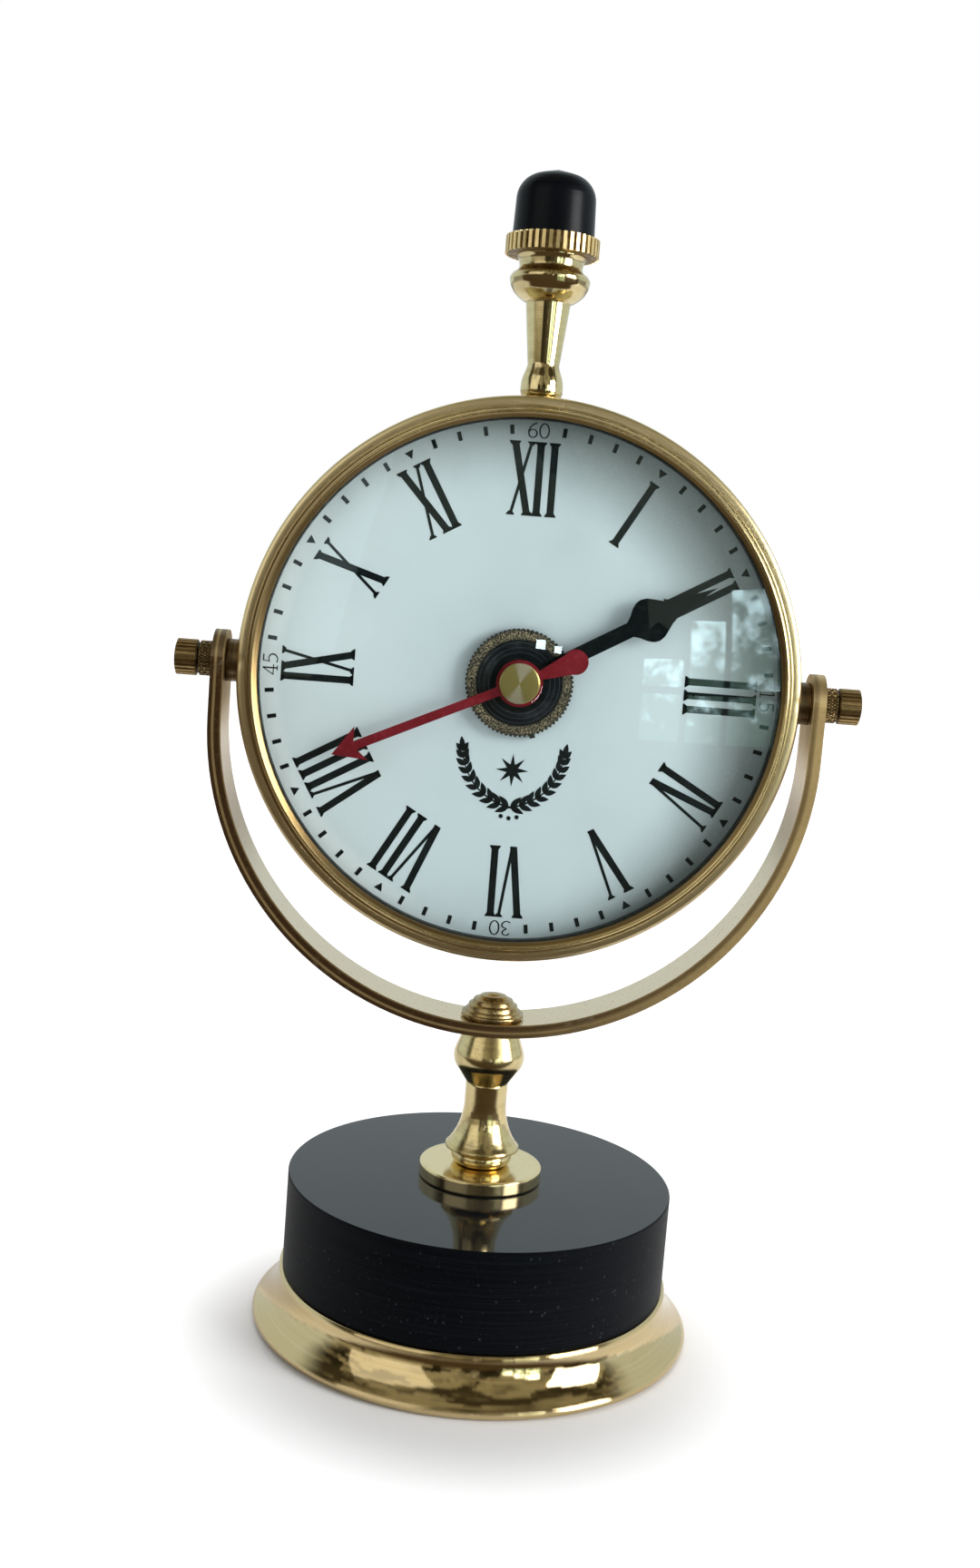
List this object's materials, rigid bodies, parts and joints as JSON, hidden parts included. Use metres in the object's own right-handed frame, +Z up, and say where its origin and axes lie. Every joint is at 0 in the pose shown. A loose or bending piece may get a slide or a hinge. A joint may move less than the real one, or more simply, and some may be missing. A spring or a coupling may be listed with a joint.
{
  "type": "tilting table clock",
  "caption": "Round table clock with a domed glass, tilting in a half-ring yoke on a short pillar and a weighted round base, with a turned finial on top.",
  "frame": {"origin": "centre of the felt's underside, on the table", "axes": "+Z up, -Y out of the dial towards the viewer, +X to the viewer's right, along the tilt axis"},
  "size_m": [0.1292, 0.0856, 0.221],
  "materials": {
    "felt": "dark felt",
    "foot_brass": "turned brass, lacquered, slightly aged",
    "black_wood": "black lacquered wood, glossy on top, satin on the side",
    "polished_brass": "polished turned brass",
    "aged_brass": "aged brass with brown edges",
    "bronzed_brass": "dark bronzed brass",
    "knurled_brass": "knurled brass, aged",
    "steel": "plain steel",
    "glass": "clear domed glass",
    "dial_card": "pale bluish white painted metal",
    "black_enamel": "black enamel",
    "red_enamel": "dark red enamel",
    "knob_black": "black satin phenolic",
    "black_plastic": "black moulded plastic",
    "clear_plastic": "natural moulded plastic",
    "rubber": "soft black rubber",
    "battery_wrap": "plain shrink wrap on a steel can",
    "board_green": "circuit board",
    "copper": "enamelled copper wire, wound"
  },
  "bodies": {
    "base": {"felt_pad": "felt", "brass_foot": "foot_brass", "wood_disc": "black_wood", "pillar_flange": "polished_brass", "neck_ring": "polished_brass", "pillar_column": "polished_brass", "vase_collar": "polished_brass", "tie_rod": "steel", "rod_washer": "steel", "rod_nut": "steel", "dome_nut": "polished_brass"},
    "yoke": {"yoke": "aged_brass"},
    "left_screw": {"left_thumb_screw": "knurled_brass"},
    "right_screw": {"right_thumb_screw": "knurled_brass"},
    "left_collar": {"left_lock_collar": "knurled_brass"},
    "right_collar": {"right_lock_collar": "knurled_brass"},
    "case": {"case_band": "polished_brass", "case_shell": "bronzed_brass", "bezel": "bronzed_brass", "crystal": "glass", "crystal_spacer": "black_plastic", "dial": "dial_card", "dial_nut": "knurled_brass", "left_pivot_boss": "aged_brass", "right_pivot_boss": "aged_brass", "bottom_plug": "aged_brass", "finial_boss": "polished_brass", "finial_screw": "steel", "finial_stem": "polished_brass", "finial_ferrule": "polished_brass", "finial_knob": "knob_black", "back_cover": "bronzed_brass", "cover_screws": "polished_brass", "movement_housing": "black_plastic", "movement_cover": "clear_plastic", "movement_screws": "steel", "rubber_washer": "rubber", "centre_bush": "polished_brass", "battery": "battery_wrap", "battery_contacts": "steel", "circuit_board": "board_green", "coil_core": "steel", "coil_winding": "copper", "stator_plate": "steel", "stepper_rotor": "clear_plastic"},
    "minute": {"minute_hand": "black_enamel", "minute_hub": "black_enamel", "minute_pipe": "clear_plastic"},
    "hour": {"hour_hand": "red_enamel", "hour_arbor": "clear_plastic", "hand_cap": "polished_brass"},
    "motion": {"motion_wheel": "clear_plastic"},
    "third": {"third_wheel": "clear_plastic"},
    "seconds": {"seconds_wheel": "clear_plastic"},
    "setting": {"setting_knob": "black_plastic"}
  },
  "joints": [
    {"name": "yoke_swivel", "type": "hinge", "parent": "base", "child": "yoke", "pos_m": [0, 0, 0.06015], "axis": [0, 0, 1], "continuous": true},
    {"name": "case_tilt", "type": "hinge", "parent": "yoke", "child": "case", "pos_m": [0, 0, 0.1268], "axis": [1, 0, 0], "range_deg": [-165, 170]},
    {"name": "left_screw_turn", "type": "hinge", "parent": "yoke", "child": "left_screw", "pos_m": [-0.0612, 0, 0.1268], "axis": [-1, 0, 0], "continuous": true},
    {"name": "right_screw_turn", "type": "hinge", "parent": "yoke", "child": "right_screw", "pos_m": [0.0612, 0, 0.1268], "axis": [1, 0, 0], "continuous": true},
    {"name": "left_collar_turn", "type": "hinge", "parent": "yoke", "child": "left_collar", "pos_m": [-0.0588, 0, 0.1268], "axis": [-1, 0, 0], "continuous": true},
    {"name": "right_collar_turn", "type": "hinge", "parent": "yoke", "child": "right_collar", "pos_m": [0.0588, 0, 0.1268], "axis": [1, 0, 0], "continuous": true},
    {"name": "minute_turn", "type": "hinge", "parent": "case", "child": "minute", "pos_m": [0, 0, 0.1268], "axis": [0, 0.9988, -0.0488], "continuous": true},
    {"name": "hour_turn", "type": "hinge", "parent": "case", "child": "hour", "pos_m": [0, 0, 0.1268], "axis": [0, 0.9988, -0.0488], "continuous": true},
    {"name": "motion_turn", "type": "hinge", "parent": "case", "child": "motion", "pos_m": [-0.00873, 0.00025, 0.13183], "axis": [0, 0.9988, -0.0488], "continuous": true},
    {"name": "third_turn", "type": "hinge", "parent": "case", "child": "third", "pos_m": [0.00504, 0.00043, 0.13552], "axis": [0, 0.9988, -0.0488], "continuous": true},
    {"name": "seconds_turn", "type": "hinge", "parent": "case", "child": "seconds", "pos_m": [0.00844, 0.00071, 0.1414], "axis": [0, 0.9988, -0.0488], "continuous": true},
    {"name": "setting_turn", "type": "hinge", "parent": "case", "child": "setting", "pos_m": [-0.00873, 0.00074, 0.1419], "axis": [0, 0.9988, -0.0488], "continuous": true}
  ],
  "couplings": [
    {"joint": "hour_turn", "follows": "minute_turn", "ratio": 0.083333},
    {"joint": "motion_turn", "follows": "minute_turn", "ratio": -0.33333},
    {"joint": "third_turn", "follows": "minute_turn", "ratio": -8},
    {"joint": "seconds_turn", "follows": "minute_turn", "ratio": 60},
    {"joint": "setting_turn", "follows": "minute_turn", "ratio": 1}
  ]
}
